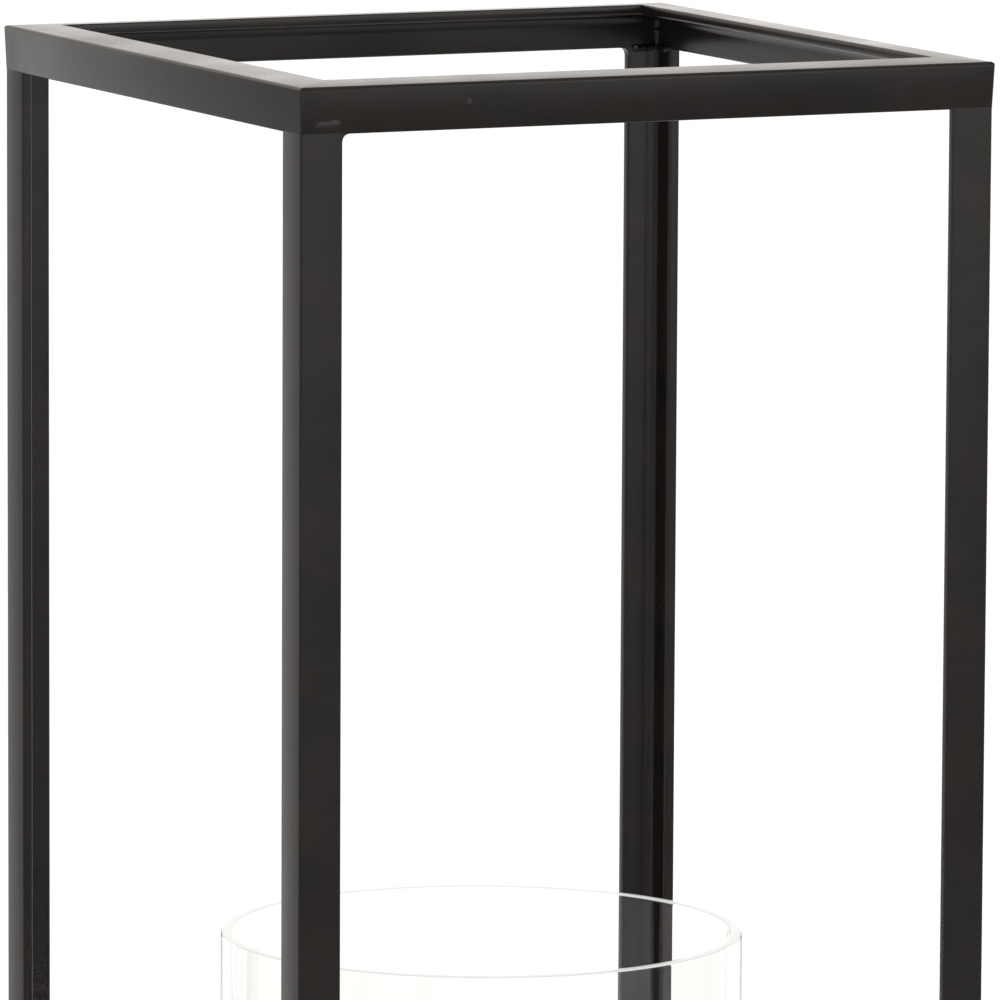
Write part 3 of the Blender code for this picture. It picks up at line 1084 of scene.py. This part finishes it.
# %% Wax
WAX_DARK = (0.72, 0.66, 0.53)
WAX_PALE = (0.84, 0.79, 0.68)
WAX_SCATTER = 0.3
WAX_DEPTH = 0.004  # m
WAX_REACH = (1.0, 0.6, 0.35)  # of red, green and blue, as shares of that depth
tone = {"Drift_Scale": 35.0, "Speck_Scale": 420.0, "Speck_Share": 0.35}
gloss = {"Drift_Scale": 60.0, "Speck_Share": 0.3, "Low": 0.34, "High": 0.52}
skin = {"Wave_Scale": 120.0, "Wave_Height": 0.0002, "Peel_Scale": 1600.0, "Peel_Height": 0.00002}
candle_wax, shader = make_finish("candle_wax", (WAX_DARK, WAX_PALE), tone, gloss, skin)
shader.inputs["Subsurface Weight"].default_value = WAX_SCATTER
shader.inputs["Subsurface Radius"].default_value = WAX_REACH
shader.inputs["Subsurface Scale"].default_value = WAX_DEPTH
print("wax scatters over", WAX_DEPTH, "m")

# %% [markdown]
# ## The candle
# A pillar candle is poured wax: softened rims, a top that sank a little as it cooled, and a
# skin that is never quite round. The turned shape gives the form, and a slow noise moves its
# verts by up to two tenths of a millimetre.

# %% Pillar candle
WAX_RIM = 0.0026
WAX_SINK = 0.0011  # how far the top sinks towards the wick
WAX_DIMPLE = 0.0012
SPIKE_BORE = 0.0026
SPIKE_BORE_DEPTH = 0.0215
WAX_UNEVEN = 0.00018
UNEVEN_SCALE = 45
DIMPLE_RADIUS = 0.0035
SIDE_STEPS = 40
TOP_STEPS = 16
CANDLE_STEPS = 96
candle_low, candle_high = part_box("pillar_candle")
candle_radius, candle_height, candle_centre = round_sizes(candle_low, candle_high)


def candle_outline():
    """From the top of the spike's bore, down, out, up the side and in to the wick."""
    inside = candle_radius - WAX_RIM
    chain = [(0, SPIKE_BORE_DEPTH), (SPIKE_BORE, SPIKE_BORE_DEPTH - 0.001)]
    chain += [(SPIKE_BORE, 0.0006), (SPIKE_BORE + 0.0008, 0), (0.012, 0), (0.024, 0)]
    chain += arc((inside, WAX_RIM), WAX_RIM, 270, 360, 6)
    for step in range(2, SIDE_STEPS - 1):
        chain.append((candle_radius, candle_height * step / SIDE_STEPS))
    chain += arc((inside, candle_height - WAX_RIM), WAX_RIM, 0, 90, 8)
    for step in range(1, TOP_STEPS + 1):
        out = inside * (1 - step / TOP_STEPS)
        sink = WAX_SINK * (0.5 + 0.5 * math.cos(math.pi * out / inside))
        dimple = WAX_DIMPLE * math.exp(-((out / DIMPLE_RADIUS) ** 2))
        chain.append((out, candle_height - sink - dimple))
    return chain


candle = turned_shape(candle_outline(), candle_centre, CANDLE_STEPS)
for vert in candle.verts:
    away = vert.co - candle_centre
    flat = Vector((away.x, away.y, 0))
    if flat.length > candle_radius / 2 and away.z > WAX_RIM:
        uneven = 0.5 + 0.5 * noise.noise(vert.co * UNEVEN_SCALE)
        vert.co -= flat.normalized() * WAX_UNEVEN * uneven
finish_piece("poured_candle", candle, candle_wax, "candle", "pillar_candle", smooth=50)
print(f"candle {2 * candle_radius:.4f} across, {candle_height:.4f} tall")

# %% [markdown]
# ## The wick
# Three cotton strands are laid round each other and dipped in wax. Each strand is a swept rod
# on a helix. Above the wax the wick leans, as it does once it has been handled.

# %% Cotton
COTTON_DARK = (0.60, 0.55, 0.44)
COTTON_PALE = (0.86, 0.83, 0.76)
tone = {"Drift_Scale": 700.0, "Speck_Scale": 5200.0, "Speck_Share": 0.6}
gloss = {"Speck_Scale": 2500.0, "Speck_Share": 0.6, "Low": 0.55, "High": 0.85}
skin = {"Wave_Scale": 1500.0, "Wave_Height": 0.0002, "Peel_Scale": 9000.0, "Peel_Height": 0.00005}
wick_cotton, _ = make_finish("wick_cotton", (COTTON_DARK, COTTON_PALE), tone, gloss, skin)
print("cotton finish, strand speck share", tone["Speck_Share"])

# %% Wick
WICK_PITCH = 0.0048
STRANDS = 3
STRAND_SIDES = 7
STRAND_SHARE = 0.52  # of the wick's radius
TURN_STEPS = 10  # rings of a strand for each turn of the lay
WICK_LEAN = 0.0007
FRAY_FROM = 0.985  # of the length, where a strand starts to thin
FRAY = 0.35
wick_low, wick_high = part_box("wick")
wick_radius, wick_length, wick_centre = round_sizes(wick_low, wick_high)
strand_radius = wick_radius * STRAND_SHARE
wick = bmesh.new()
steps = round(wick_length / WICK_PITCH * TURN_STEPS)
for strand in range(STRANDS):
    path = []
    for step in range(steps + 1):
        height = wick_length * step / steps
        angle = 2 * math.pi * (height / WICK_PITCH + strand / STRANDS)
        above = max(0, wick_low.z + height - candle_high.z) / (wick_high.z - candle_high.z)
        turn = Vector((math.cos(angle), math.sin(angle), 0)) * (wick_radius - strand_radius)
        path.append(wick_centre + turn + Vector((WICK_LEAN * above**2, 0, height)))
    radii = []
    for step in range(steps + 1):
        thinned = max(0, (step / steps - FRAY_FROM) / (1 - FRAY_FROM))
        radii.append(strand_radius * (1 - FRAY * thinned))
    swept_rod(wick, path, radii, STRAND_SIDES)
bmesh.ops.recalc_face_normals(wick, faces=wick.faces)
finish_piece("braided_wick", wick, wick_cotton, "candle", "wick", smooth=60)
